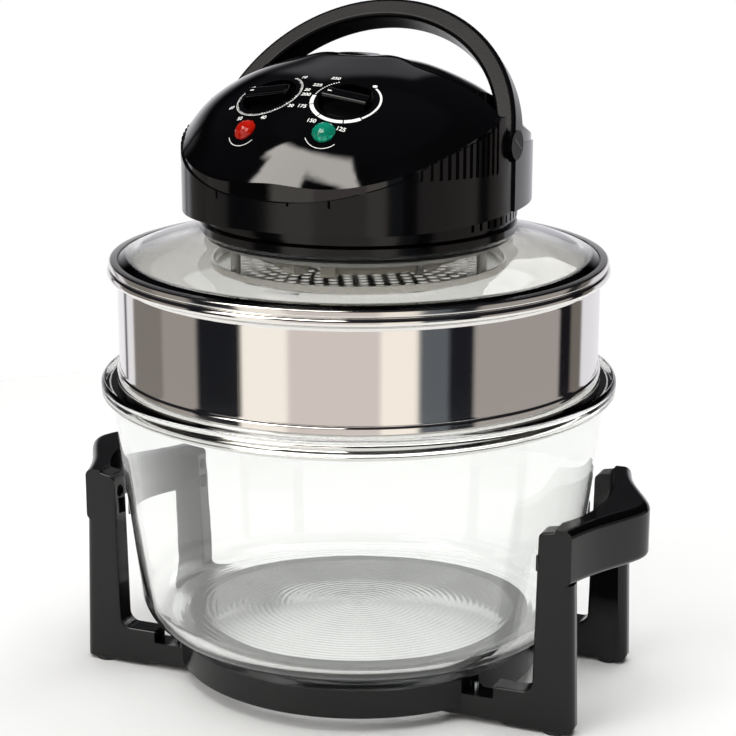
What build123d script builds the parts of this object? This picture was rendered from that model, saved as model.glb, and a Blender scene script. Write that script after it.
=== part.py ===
from build123d import *
import math
import os

os.makedirs("parts", exist_ok=True)

# A halogen oven: glass bowl in a stand, a steel extender ring, and a loose lid with a motor head.
# Millimetres. +Z is up, the front faces -Y, the origin is on the table under the bowl's centre.

# ---- driving dimensions -------------------------------------------------------------------
gap = 0.3            # between bodies that part from each other
fit = 0.05           # radial room of a running fit
lid_turn = -4.8      # the loose lid lies turned a little on the ring

# bowl
seat_z = 37.0        # where the bowl stands
bowl_top = 200.0
rim_h = 10.0
rim_out = 6.3        # the rim stands out from the wall
wall_top_r = 158.7
wall_low_r = 141.8
glass = 5.0
corner = 22.0        # round between floor and wall
foot_in = 1.6        # the wall's line meets the corner this far out
bowl_r = wall_top_r + rim_out
mouth_r = wall_top_r - glass

# stand
seat_in = 9.4        # the seat's edge, inside the bowl's flat bottom
ring_step = 6.5
seat_r = wall_low_r + foot_in - corner - seat_in
ring_r = seat_r + ring_step
ring_z0 = 9.4
ring_z1 = 28.6
leg_y = 68.4         # outer face of a leg, front to back
leg_w = 15.0
arm_in = 34.5        # how far an arm reaches in under the ring
leg_x0 = ring_r - arm_in
arm_h = 26.0
pad_h = 1.5          # how far a foot pad shows
post_gap = 5.74      # from the bowl's wall to a post
post_d = 23.0        # a post, from its inside to its outside
post_z = 133.6
grip_z0 = 98.0
grip_z1 = 133.0
grip_screw_z = grip_z0 + 20
grip_lap = 10.5      # a grip's end laps over its post
grip_out = 29.5      # how far a grip stands out from the posts

# extender ring
sheet = 1.0
mouth_gap = 0.7      # the ring hangs in the bowl's mouth with this much room
ext_r = mouth_r - mouth_gap
ext_deep = 13.0
crimp_r = ext_r + 3.4
ring_h = 69.0
bead = 3.0
bead_r = ext_r + bead + 0.3
bead_z = bowl_top + ring_h
lid_seat = 2.8       # the lid rests this far above the bead's middle

# lid and head, drawn on their own heights and then set on the ring
lid_z = 271.8
lid_up = bead_z + lid_seat - lid_z
rim_r = bead_r + 1.7
land_z = lid_z + 18.2    # flat land of the lid glass under the collar
hole_r = 86.5
collar_r = 100.0
gasket_t = 1.0
collar_z0 = land_z + gasket_t
head_z = collar_z0 + 19.0
guard_r = 93.5
guard_z = land_z - 23.0
guard_top = guard_z + 5.6
pan_t = 0.8
pan_z = collar_z0 - pan_t

head_hw = 101.0      # head plan, half width
rear_hw = 102.5      # the same behind the handle
head_hl = 116.0      # head plan, half length
power = 2.4          # of the superellipse
shell = 2.6
seam_y = 0.0         # between the glossy cover and the rear cover
pivot_y = 7.5
pivot_z = head_z + 41.6
arch_drop = 13.0     # the arch's centre lies below the pivot
lean = 35.0          # the handle lies back this far at rest
arch_out = 105.5
arch_in = 92.5
arch_w = 18.0
pocket_r = 86.3

# the dome at each height above the housing's foot: half width, half length in front, half length behind
dome_levels = [
    (20.0, 131.0, 116.8, 116.8),
    (36.0, 116.0, 111.5, 109.0),
    (47.0, 107.0, 105.0, 94.0),
    (56.0, 100.5, 97.5, 78.0),
    (68.0, 88.0, 81.5, 61.0),
    (75.5, 76.0, 67.0, 49.5),
    (83.5, 57.5, 47.5, 35.0),
    (88.5, 40.0, 30.0, 22.5),
    (92.4, 14.0, 10.0, 8.0),
]
# top edge of the lower housing above its foot, front to back
edge = [
    (-125, 14.0),
    (-116, 18.0),
    (-104, 25.0),
    (-86, 33.0),
    (-75, 39.0),
    (-63, 43.6),
    (-47, 47.5),
    (-26, 51.0),
    (-14, 56.0),
    (-10, 60.0),
    (2, 60.0),
    (14, 42.0),
    (60, 37.0),
    (100, 28.0),
    (125, 18.0),
]

dial_r = 17.0        # knob well
dial_depth = 9.0
lens_r = 7.1
lens_seat = 5.4      # how deep the lens flange lies
knob_r = 15.2
spindle_r = 3.0
# places on the skin: right, back and above the housing's foot
timer_at = (-26.0, -67.0, 73.0)
timer_n = (-0.17, -0.45, 0.88)
temp_at = (26.0, -67.0, 73.0)
temp_n = (0.17, -0.44, 0.88)
power_at = (-27.6, -94.0, 55.5)
power_n = (-0.22, -0.67, 0.71)
heat_at = (24.5, -93.0, 57.6)
heat_n = (0.19, -0.64, 0.75)

lamp_ring_r = 62.0
lamp_tube_r = 5.0
lamp_z = pan_z - 11.2
shaft_r = 3.0
shaft_z0 = guard_z + 4.5
boss_x = 48.0
boss_y = 24.0
bracket_z = head_z + 36.0
inlet_z = head_z + 16.0
fan_z = guard_z + 6.0


# ---- helpers ------------------------------------------------------------------------------
def spun(points):
    """A solid of revolution from radius and height pairs."""
    face = make_face(Plane.XZ * Polyline(*points, close=True))
    return revolve(face, Axis.Z)


def tube(r_out, r_in, z0, z1):
    return spun([(r_in, z0), (r_out, z0), (r_out, z1), (r_in, z1)])


def rod(r, z0, z1, x=0.0, y=0.0):
    return Pos(x, y, (z0 + z1) / 2) * Cylinder(r, z1 - z0)


def block(x0, x1, y0, y1, z0, z1):
    centre = Pos((x0 + x1) / 2, (y0 + y1) / 2, (z0 + z1) / 2)
    return centre * Box(abs(x1 - x0), abs(y1 - y0), z1 - z0)


def polar(r, degrees):
    a = math.radians(degrees)
    return r * math.cos(a), r * math.sin(a)


def save(node, shape):
    solids = shape if isinstance(shape, list) else list(shape.solids())
    body = solids[0] if len(solids) == 1 else Compound(solids)
    export_step(body, f"parts/{node}.step")
    print(node, len(solids), "solids")


def save_lid(node, shape):
    solids = shape if isinstance(shape, list) else list(shape.solids())
    save(node, [Pos(0, 0, lid_up) * Rot(0, 0, lid_turn) * s for s in solids])


def screw(head_r, head_h, shank_r, length):
    """A screw that points up: the head's underside is on z = 0, the shank above it."""
    head = rod(head_r, -head_h, 0)
    slot = block(-head_r, head_r, -0.5, 0.5, -head_h - 1, -head_h + 0.9)
    return (head + rod(shank_r, 0, length)) - slot


def bowl_wall(z):
    """Outside radius of the bowl's wall at a height."""
    share = (z - seat_z) / (bowl_top - rim_h - seat_z)
    return wall_low_r + share * (wall_top_r - wall_low_r)


# ---- places that follow from the bowl -----------------------------------------------------
post_x0 = math.sqrt(bowl_wall(post_z) ** 2 - leg_y ** 2) + post_gap
post_x1 = post_x0 + post_d
leg_x1 = post_x1 + 2.0
grip_end_x = post_x1 - grip_lap

# ---- stand --------------------------------------------------------------------------------
bowl_clear = spun([(0, 60), (bowl_wall(60) + 2, 60), (bowl_wall(140) + 2, 140), (0, 140)])
leg_sides = [("left_front", -1, -1), ("right_front", 1, -1), ("left_rear", -1, 1), ("right_rear", 1, 1)]
leg_mid = leg_y - leg_w / 2
screw_xs = (leg_x0 + 6.0, leg_x0 + 20.0)
tongue_h = 18.0


def leg():
    """The right rear leg: an arm under the ring and a post beside the bowl."""
    profile = [
        (leg_x0, ring_z0 - 5.4),
        (leg_x0, tongue_h),
        (ring_r - 1.0, tongue_h),
        (ring_r - 1.0, arm_h),
        (post_x0, arm_h),
        (post_x0 + 2, post_z - 4),
        (post_x1, post_z),
        (post_x1 + 1, 100),
        (leg_x1 + 2, pad_h),
        (ring_r + 6.5, pad_h),
        (ring_r - 0.5, ring_z0 - 5.4),
    ]
    side = make_face(Plane.XZ * Polyline(*profile, close=True))
    for radius, corners in ((7.0, [4]), (5.0, [8]), (4.0, [5, 6])):
        places = [Vector(profile[i][0], 0, profile[i][1]) for i in corners]
        side = fillet([min(side.vertices(), key=lambda v: (v.center() - p).length) for p in places], radius)
    body = Pos(0, leg_y, 0) * extrude(side, leg_w, dir=(0, -1, 0))
    rims = body.faces().filter_by(Axis.Y).edges().filter_by(lambda e: e.center().X > ring_r)
    body = fillet(rims.filter_by(lambda e: e.center().X < post_x1 - 5), 1.5)
    tilt = math.degrees(math.atan2(leg_x1 + 2 - post_x1, post_z))
    slab = block(leg_x0 - 24, leg_x1 + 2, leg_y - leg_w, leg_y, -20, post_z + 27)
    slab = fillet(slab.edges().filter_by(Axis.Z).group_by(Axis.X)[-1], 6.0)
    foot = Pos(leg_x1 + 2, 0, pad_h)
    body = body & (foot * Rot(0, -tilt, 0) * Pos(-leg_x1 - 2, 0, -pad_h) * slab)
    body = body - bowl_clear
    body = body - block(grip_end_x, post_x1 + 10, leg_y - leg_w - 1, leg_y + 1, grip_z0, post_z + 5)
    body = body - rod(8.2, 0, pad_h + 1.5, leg_x1 - 11, leg_mid)
    for x in screw_xs:
        body = body - rod(2.0, 0, tongue_h + 1, x, leg_mid)
        body = body - rod(4.0, 0, 8.0, x, leg_mid)
    bore = Pos(post_x0 + 8, leg_mid, grip_screw_z) * Rot(0, 90, 0) * Cylinder(2.0, 30)
    room = Pos(post_x0, leg_mid, grip_screw_z) * Rot(0, 90, 0) * Cylinder(4.2, 16)
    return body - bore - room


def mirrored(shape, sx, sy):
    out = shape
    if sx < 0:
        out = mirror(out, about=Plane.YZ)
    if sy < 0:
        out = mirror(out, about=Plane.XZ)
    return out


one_leg = leg()
for side_name, sx, sy in leg_sides:
    save(f"{side_name}_leg", mirrored(one_leg, sx, sy))

wall = 3.0
ring_profile = [
    (ring_r - wall, ring_z0),
    (ring_r, ring_z0),
    (ring_r, ring_z1 - 1),
    (ring_r - 1, ring_z1),
    (seat_r + 2.5, ring_z1 + 1.4),
    (seat_r, ring_z1 + 3),
    (seat_r, seat_z),
    (seat_r - 10, seat_z),
    (seat_r - 10, ring_z0 + 4),
    (seat_r - 7, ring_z0 + 4),
    (seat_r - 7, seat_z - wall),
    (seat_r - wall, seat_z - wall),
    (seat_r - wall, ring_z1 - wall),
    (ring_r - wall, ring_z1 - wall),
]
stand_ring = spun(ring_profile)
for _, sx, sy in leg_sides:
    window = block(leg_x0 - 1, ring_r + 6.5, leg_y - leg_w - 0.2, leg_y + 0.2, 0, tongue_h)
    boss = block(leg_x0 - 2, ring_r - 4, leg_y - leg_w - 2, leg_y + 2, tongue_h, ring_z1 - 1)
    inside = spun([(0, tongue_h), (ring_r - 1, tongue_h), (ring_r - 1, ring_z1 - 1), (0, ring_z1 - 1)])
    stand_ring = stand_ring + mirrored(boss & inside, sx, sy) - mirrored(window, sx, sy)
for _, sx, sy in leg_sides:
    for x in screw_xs:
        stand_ring = stand_ring - rod(1.5, tongue_h - 1, tongue_h + 7.5, sx * x, sy * leg_mid)
save("stand_ring", stand_ring)

leg_screw = screw(3.6, 2.4, 1.5, 16.0)
leg_screws = []
for _, sx, sy in leg_sides:
    for x in screw_xs:
        leg_screws.append(Pos(sx * x, sy * leg_mid, 8.0) * leg_screw)
save("leg_screws", leg_screws)

pads = []
for _, sx, sy in leg_sides:
    pads.append(rod(8.0, 0, pad_h + 1.5, sx * (leg_x1 - 11), sy * leg_mid))
save("foot_pads", pads)


def grip():
    """The right hand grip, a crescent band between two posts."""
    tip = post_x1 + grip_out
    bow = [(post_x1, -leg_y), (post_x1 + 10, -42), (tip - 5, -15), (tip, 0)]
    bow += [(x, -y) for x, y in reversed(bow[:-1])]
    outer = Spline(*bow, tangents=[(0.3, 1), (-0.3, 1)])
    hollow = [(grip_end_x, leg_y - leg_w), (grip_end_x + 8.5, 34), (grip_end_x + 12.5, 0)]
    hollow += [(x, -y) for x, y in reversed(hollow[:-1])]
    inner = Spline(*hollow)
    lines = [
        outer,
        Line((post_x1, leg_y), (grip_end_x, leg_y)),
        Line((grip_end_x, leg_y), (grip_end_x, leg_y - leg_w)),
        inner,
        Line((grip_end_x, leg_w - leg_y), (grip_end_x, -leg_y)),
        Line((grip_end_x, -leg_y), (post_x1, -leg_y)),
    ]
    plan = make_face(Wire(lines))
    body = Pos(0, 0, grip_z0) * extrude(plan, grip_z1 - grip_z0, dir=(0, 0, 1))
    for end in (-1, 1):
        body = body - (Pos(grip_end_x, end * leg_mid, grip_screw_z) * Rot(0, 90, 0) * Cylinder(1.5, 14))
    return body


one_grip = grip()
crown_edges = one_grip.edges().filter_by(lambda e: e.center().X > post_x1 + 7)
one_grip = fillet(crown_edges.group_by(Axis.Z)[-1], 5.0)
crown_edges = one_grip.edges().filter_by(lambda e: e.center().X > post_x1 + 7 and abs(e.center().Z - grip_z0) < 0.1)
one_grip = fillet(crown_edges, 4.0)
save("right_grip", one_grip)
save("left_grip", mirrored(one_grip, -1, 1))

grip_screw = screw(3.6, 2.4, 1.5, 10.0)
grip_screws = []
for _, sx, sy in leg_sides:
    at = Pos(sx * (post_x0 + 8.0), sy * leg_mid, grip_screw_z)
    grip_screws.append(at * Rot(0, sx * 90, 0) * grip_screw)
save("grip_screws", grip_screws)

bumpers = []
bump_z = grip_z0 + 8.0
bump_r = bowl_wall(bump_z)
for _, sx, sy in leg_sides:
    turn = math.degrees(math.atan2(sy * (leg_y - leg_w + 3), sx * (post_x0 + 4)))
    pad = Pos(*polar(bump_r + 2, turn), bump_z) * Rot(0, 0, turn) * Box(4, 5, 10)
    keep = tube(bump_r + 1.95, bump_r + 0.9, bump_z - 5, bump_z + 5)
    bumpers.append((pad & keep).solids()[0])
save("bowl_bumpers", bumpers)

# ---- bowl and extender ring ---------------------------------------------------------------
low = seat_z + glass + 1


def corner_arc(cx, cz, r, count=5):
    points = []
    for i in range(count + 1):
        a = math.radians(-90 + 84 * i / count)
        points.append((cx + r * math.cos(a), cz + r * math.sin(a)))
    return points


bowl_profile = [(0, seat_z)]
bowl_profile += corner_arc(wall_low_r + foot_in - corner, seat_z + corner, corner)
bowl_profile += [
    (wall_top_r, bowl_top - rim_h),
    (bowl_r - 1.5, bowl_top - rim_h),
    (bowl_r, bowl_top - rim_h + 1.5),
    (bowl_r, bowl_top - 1.5),
    (bowl_r - 1.5, bowl_top),
    (mouth_r + 0.7, bowl_top),
    (mouth_r, bowl_top - 0.7),
    (mouth_r, bowl_top - rim_h),
]
inner_arc = corner_arc(wall_low_r + foot_in - corner, low + corner - glass, corner - glass)
bowl_profile += list(reversed(inner_arc))
for i in range(11):
    r = wall_low_r - 23.8 - 10.0 * i
    bowl_profile += [(r, low), (r - 2, low + 1.0), (r - 4, low)]
bowl_profile += [(0, low)]
save("glass_bowl", spun(bowl_profile))

ring_wall = spun([
    (ext_r - sheet, bowl_top - ext_deep),
    (ext_r, bowl_top - ext_deep),
    (ext_r, bowl_top),
    (crimp_r - 0.8, bowl_top),
    (crimp_r, bowl_top + 0.8),
    (crimp_r, bowl_top + 3.6),
    (crimp_r - 1.0, bowl_top + 5.0),
    (ext_r, bowl_top + 6.0),
    (ext_r, bead_z),
    (ext_r - sheet, bead_z),
])
bead_disc = Plane.XZ * (Pos(bead_r - 0.3, bead_z) * Circle(bead + 0.3))
bead_tube = revolve(make_face(bead_disc), Axis.Z)
bead_tube = bead_tube - tube(ext_r + 17, ext_r - 13, bead_z + lid_seat, bead_z + bead + 5)
extender = ring_wall + (bead_tube - rod(ext_r - sheet, bead_z - 9, bead_z + 11))
save("extender_ring", extender)

# ---- lid glass, rim and collar ------------------------------------------------------------
hang_r = ext_r - sheet - 1.5     # the lid rim's lip hangs inside the ring
rim_steel = spun([
    (hang_r - 1.0, lid_z - 6),
    (hang_r, lid_z - 6),
    (hang_r, lid_z),
    (rim_r - 0.8, lid_z),
    (rim_r, lid_z + 0.8),
    (rim_r, lid_z + 3.8),
    (rim_r - 0.8, lid_z + 4.6),
    (rim_r - 5.4, lid_z + 4.6),
    (rim_r - 5.4, lid_z + 3.9),
    (rim_r - 1.1, lid_z + 3.9),
    (rim_r - 1.1, lid_z + 1.0),
    (hang_r - 1.0, lid_z + 1.0),
])
save_lid("lid_rim", rim_steel)

# the glass rises from the rim to the collar: share of the way in, height above the lid's seat
lid_rise = ((0.310, 8.6), (0.552, 12.6), (0.793, 16.0), (0.9655, 17.8))


def lid_place(share):
    return rim_r + share * (collar_r - rim_r)


lid_top = [(lid_place(share), lid_z + rise) for share, rise in lid_rise]
lid_under = [(r, z - 4.5) for r, z in lid_top]
lid_glass = spun([
    (rim_r - 10.0, lid_z + 1.0),
    (rim_r - 1.3, lid_z + 1.0),
    (rim_r - 1.3, lid_z + 3.8),
    (rim_r - 6.0, lid_z + 3.8),
    (rim_r - 7.5, lid_z + 5.2),
    *lid_top,
    (98.0, land_z),
    (hole_r, land_z),
    (hole_r, land_z - 4),
    (97.0, land_z - 4),
    *reversed(lid_under),
])
save_lid("lid_glass", lid_glass)

gasket = tube(96.5, 87.5, land_z, collar_z0)
save_lid("collar_gasket", gasket)

collar = spun([
    (76.0, collar_z0),
    (96.0, collar_z0),
    (98.6, collar_z0 + 1.2),
    (collar_r, collar_z0 + 3.5),
    (collar_r, collar_z0 + 8.0),
    (collar_r - 0.8, collar_z0 + 9.0),
    (collar_r - 3, collar_z0 + 9.6),
    (collar_r - 3, collar_z0 + 11.4),
    (collar_r, collar_z0 + 12.0),
    (collar_r, head_z),
    (collar_r - 5.5, head_z),
    (collar_r - 5.5, collar_z0 + 3),
    (76.0, collar_z0 + 3),
])
slots = []
for i in range(51):
    slots.append(Rot(0, 0, 4.3 * i - 20) * block(collar_r - 10, collar_r + 6, -1.3, 1.3, head_z - 6, head_z - 1))
clamp_angles = [30 + 60 * i for i in range(6)]
house_angles = [90 * i for i in range(4)]
pan_angles = [90 * i for i in range(4)]
for a in clamp_angles:
    collar = collar + rod(4.0, collar_z0 + 1, collar_z0 + 11, *polar(84, a))
for a in house_angles:
    collar = collar + rod(5.0, collar_z0 + 1, head_z, *polar(90.2, a))
collar = collar - slots
for a in clamp_angles:
    collar = collar - rod(1.5, collar_z0 - 1, collar_z0 + 9, *polar(84, a))
for a in house_angles:
    collar = collar - rod(1.5, head_z - 11, head_z + 1, *polar(87.5, a))
for a in pan_angles:
    collar = collar - rod(1.5, collar_z0 - 1, collar_z0 + 4, *polar(78, a))
save_lid("collar", collar)

clamp = tube(93.0, 82.0, land_z - 5.5, land_z - 4)
for a in clamp_angles:
    clamp = clamp - rod(1.6, land_z - 10, land_z, *polar(84, a))
save_lid("clamp_ring", clamp)
clamp_screw = screw(1.9, 1.5, 1.5, 14.0)
save_lid("clamp_screws", [Pos(*polar(84, a), land_z - 5.5) * clamp_screw for a in clamp_angles])

# ---- heating chamber ----------------------------------------------------------------------
lamp_ends = (255.0, 285.0)
pan = tube(82.0, 5.0, pan_z, collar_z0)
for a in pan_angles:
    pan = pan - rod(1.6, pan_z - 10, pan_z + 10, *polar(78, a))
for a in lamp_ends:
    pan = pan - rod(3.0, pan_z - 10, pan_z + 10, *polar(lamp_ring_r, a))
save_lid("reflector_pan", pan)

guard = spun([
    (0, guard_z),
    (guard_r - 1.0, guard_z),
    (guard_r, guard_z + 1.0),
    (guard_r, guard_top),
    (guard_r - 1.6, guard_top),
    (guard_r - 1.6, guard_z + 1.8),
    (guard_r - 2.4, guard_z + 0.8),
    (0, guard_z + 0.8),
])
floor_holes = Sketch()
for r, count in ((9, 6), (18, 12), (27, 18), (36, 24), (45, 30), (54, 36), (63, 42), (72, 48)):
    floor_holes += PolarLocations(r, count) * Circle(3.1)
guard = guard - (Pos(0, 0, guard_z - 1) * extrude(floor_holes, 3, dir=(0, 0, 1)))
save_lid("mesh_guard", guard)
post_angles = [-3, 117, 237]
posts = [rod(3.1, guard_z + 0.8, land_z - 5.5, *polar(87.0, a)) for a in post_angles]
save_lid("guard_posts", posts)

pan_screw = screw(2.6, 1.6, 1.5, 3.8)
save_lid("pan_screws", [Pos(*polar(78, a), pan_z) * pan_screw for a in pan_angles])

arc = CenterArc((0, 0, lamp_z), lamp_ring_r, lamp_ends[1], 330)
lamp = sweep(Plane(origin=arc @ 0, z_dir=arc % 0) * Circle(lamp_tube_r), path=arc)
save_lid("halogen_lamp", lamp)
caps = []
for a, side in ((lamp_ends[1], -1), (lamp_ends[0], 1)):
    cap = block(lamp_ring_r - 7, lamp_ring_r + 7, 0, side * 9, lamp_z - 7, pan_z)
    cap = fillet(cap.edges().filter_by(Axis.Y), 3.0)
    caps.append((Rot(0, 0, a) * cap).solids()[0])
save_lid("lamp_caps", caps)
clips = []
for a in (330, 30, 90, 150, 210):
    strap = block(lamp_ring_r - 7, lamp_ring_r + 7, -2, 2, lamp_z - 6, pan_z)
    bore = Pos(lamp_ring_r, 0, lamp_z) * Rot(90, 0, 0) * Cylinder(lamp_tube_r + 0.2, 10)
    inner = block(lamp_ring_r - 6, lamp_ring_r + 6, -3, 3, lamp_z + 5.9, pan_z - 0.8)
    low_gap = block(lamp_ring_r - 3, lamp_ring_r + 3, -3, 3, lamp_z - 8, lamp_z)
    clips.append((Rot(0, 0, a) * (strap - bore - inner - low_gap)).solids()[0])
save_lid("lamp_clips", clips)
pins = []
for a in lamp_ends:
    pins.append(rod(2.8, pan_z, collar_z0 + 6, *polar(lamp_ring_r, a)))
save_lid("lamp_terminals", pins)

bulb_z = pan_z - 3.7
bulb = Pos(0, 51.5, bulb_z) * Rot(0, 90, 0) * Cylinder(2.4, 34)
bulb = bulb + block(-3, 3, 50.5, 52.5, bulb_z, pan_z)
save_lid("thermostat_bulb", bulb)

shield = tube(78.0, 5.0, collar_z0 + 3, collar_z0 + 4)
for a in lamp_ends:
    shield = shield - rod(6.0, collar_z0 - 1, collar_z0 + 9, *polar(lamp_ring_r, a))
for a in pan_angles:
    shield = shield - rod(3.0, collar_z0 - 1, collar_z0 + 9, *polar(78, a))
save_lid("heat_shield", shield)

# ---- head shells --------------------------------------------------------------------------
def oval(hw, hl, count=72):
    """Superellipse outline of the head in plan."""
    points = []
    for i in range(count):
        a = 2 * math.pi * i / count
        c = math.cos(a)
        s = math.sin(a)
        x = hw * math.copysign(abs(c) ** (2 / power), c)
        y = hl * math.copysign(abs(s) ** (2 / power), s)
        points.append((x, y))
    return make_face(Spline(*points, periodic=True))


def dome(off, plain=False):
    """Solid under the head's skin, set in by an offset: a long front half and a short rear half."""
    foot = head_z + dome_levels[0][0] - off
    body = block(-130, 130, -125, 125, foot - 15, foot)
    for rear, y0, y1, turn in ((0, -130, 0, 90), (1, 0, 130, -90)):
        sections = []
        for z, a, *lengths in dome_levels:
            sections.append(Plane.XY.offset(head_z + z - off) * Ellipse(lengths[rear] - off, a - off, rotation=turn))
        body = body + (loft(sections, ruled=plain) & block(-140, 140, y0, y1, foot, head_z + 110))
    return body


def plan_solid(off, z0, z1):
    up = (0, 0, 1)
    body = extrude(Pos(0, 0, z0) * oval(head_hw - off, head_hl - off), z1 - z0, dir=up)
    rear = extrude(Pos(0, 0, z0) * oval(rear_hw - off, head_hl - off), z1 - z0, dir=up)
    return body + (rear & block(-120, 120, 10, 130, z0, z1))


def pocket(clear):
    """Room swept by the handle, outside the pocket's inner walls."""
    half = arch_w / 2 + 1.6 + clear
    a = math.radians(lean)
    up = 90.0
    back = (half * math.cos(a), -half * math.sin(a))
    swept = [(-half, 0), (-half, up), (up * math.tan(a) + half / math.cos(a), up), back, (0, 0)]
    side = make_face(Plane.YZ * Polyline(*swept, close=True))
    wedge = Pos(-120, pivot_y, pivot_z) * extrude(side, 240, dir=(1, 0, 0))
    foot = Pos(0, pivot_y, pivot_z) * Rot(0, 90, 0) * Cylinder(half, 240)
    ball = Pos(0, pivot_y, pivot_z) * Sphere(pocket_r - clear)
    return (wedge + foot) - ball


def below_edge(drop=0.0):
    points = [(y, head_z + z - drop) for y, z in edge]
    points += [(125, head_z - 10), (-125, head_z - 10)]
    side = make_face(Plane.YZ * Polyline(*points, close=True))
    return Pos(-125, 0, 0) * extrude(side, 250, dir=(1, 0, 0))


def facing(point, normal):
    """A place on the skin: origin at the point, +Z along the normal, +X to the right."""
    n = Vector(*normal).normalized()
    right = (Vector(1, 0, 0) - n * n.X).normalized()
    x, y, z = point
    return Plane(origin=(x, y, head_z + z), x_dir=right, z_dir=n).location


def cross_rod(r, x0, x1, y=pivot_y, z=pivot_z):
    return Pos((x0 + x1) / 2, y, z) * Rot(0, 90, 0) * Cylinder(r, abs(x1 - x0))


under = below_edge()
outer_top = dome(0.0) & plan_solid(1.2, head_z + 6, head_z + 110)
inner_top = dome(shell, True) & plan_solid(1.2 + shell, head_z + 6 - shell, head_z + 110)
low_outer = plan_solid(0.0, head_z, head_z + 80) & under
low_inner = plan_solid(shell, head_z + 3, head_z + 80) & below_edge(shell)
pocket_cut = pocket(0.0)
room = (low_inner + inner_top) - pocket(shell)

boss_r = 11.0
bush_r = 7.5
pin_r = 4.0
pad_x = 82.0
bush_end = 89.9
lower = low_outer - pocket_cut - room
lower = lower - rod(72.0, head_z - 1, head_z + 4)
for side in (-1, 1):
    lower = lower + cross_rod(boss_r, side * pad_x, side * (pocket_r - 1.0))
    lower = lower - cross_rod(bush_r + fit, side * (pad_x - 3), side * 96)
grooves = []
for i in range(12):
    y = -80.0 + 6.0 * i
    x = head_hw * (1 - (abs(y) / head_hl) ** power) ** (1 / power)
    slope = (abs(y) / head_hl) ** (power - 1) * (x / head_hw) ** (1 - power) * head_hw / head_hl
    lean_in = math.degrees(math.atan(slope))
    for side in (-1, 1):
        at = Pos(side * x, y, head_z + 61.0 - 0.4 * i) * Rot(0, 0, -side * lean_in)
        grooves.append(at * Box(3.0, 3.0, 60))
for x in (-37.5, -12.5, 12.5, 37.5):
    y = -head_hl * (1 - (abs(x) / head_hw) ** power) ** (1 / power)
    grooves.append(Pos(x, y, head_z + 21.0) * Box(1.6, 3.0, 9.0))
lower = lower - grooves
for sx in (-1, 1):
    for sy in (-1, 1):
        lower = lower + rod(5.0, head_z, bracket_z, sx * boss_x, sy * boss_y)
        lower = lower + block(sx * boss_x - 6, sx * boss_x + 6, sy * boss_y, sy * 62, head_z, head_z + 3)
        lower = lower - rod(1.5, bracket_z - 10, bracket_z + 1, sx * boss_x, sy * boss_y)
for a in house_angles:
    lower = lower - rod(1.6, head_z - 1, head_z + 4, *polar(87.5, a))
gland_y = head_hl + 0.1
lower = lower - (Pos(0, gland_y - 3.1, inlet_z) * Rot(90, 0, 0) * Cylinder(7.0, 12))
save_lid("lower_housing", lower)

cover = outer_top - under - pocket_cut - room
for side in (-1, 1):
    cover = cover - cross_rod(boss_r + gap, side * (pad_x - 4), side * 96)
front_half = block(-130, 130, -130, seam_y, head_z - 10, head_z + 110)
save_lid("rear_cover", cover - front_half)

top_cover = cover & front_half
skin = outer_top & front_half
dials = [facing(timer_at, timer_n), facing(temp_at, temp_n)]
lenses = [(facing(power_at, power_n), lens_r), (facing(heat_at, heat_n), lens_r)]
for at in dials:
    top_cover = top_cover + ((at * rod(dial_r + 2.4, -dial_depth - 2.4, 14)) & skin)
    top_cover = top_cover - at * rod(dial_r, -dial_depth, 30)
    top_cover = top_cover - at * rod(spindle_r + 0.4, -20, 0)
for at, r in lenses:
    top_cover = top_cover + ((at * rod(r + 3, -lens_seat, 6)) & skin)
    top_cover = top_cover - at * rod(r + 0.1, -8, 8)
    top_cover = top_cover - at * rod(r + 2.2, -9, -lens_seat)
save_lid("top_cover", top_cover)

# ---- controls -----------------------------------------------------------------------------
unit_top = -dial_depth - 2.4
names = ("timer", "temperature")
for name, at, half, deep in zip(names, dials, (15.0, 13.0), (22.0, 19.0)):
    unit = block(-half, half, -half, half, unit_top - deep, unit_top)
    unit = chamfer(unit.edges().filter_by(Axis.Z), 2.0)
    unit = unit - rod(spindle_r + fit, unit_top - 14, unit_top + 1)
    save_lid(f"{name}_unit", at * unit)
    save_lid(f"{name}_spindle", at * rod(spindle_r, unit_top - 14, -3.0))
    skirt = spun([
        (0, -dial_depth + 0.4),
        (knob_r, -dial_depth + 0.4),
        (knob_r, -4.6),
        (knob_r - 1.2, -3.4),
        (0, -3.4),
    ])
    bar = block(-knob_r, knob_r, -4.2, 4.2, -4.0, 4.6)
    bar = fillet(bar.edges().filter_by(Axis.X).group_by(Axis.Z)[-1], 2.0)
    bar = bar & rod(knob_r - 0.8, -5, 6)
    knob = skirt + bar
    knob = knob - rod(spindle_r + fit, -dial_depth, -3.0)
    save_lid(f"{name}_knob", at * knob)

for name, (at, r) in zip(("power_lens", "heat_lens"), lenses):
    bead_top = (Pos(0, 0, -r * 1.6) * Sphere(r * 1.9)) & rod(r, -lens_seat, 8)
    save_lid(name, at * (bead_top + rod(r + 2, -lens_seat - 1.4, -lens_seat)))
save_lid("indicator_lamps", [at * rod(2.6, -lens_seat - 13, -lens_seat - 1.4) for at, _ in lenses])

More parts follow.
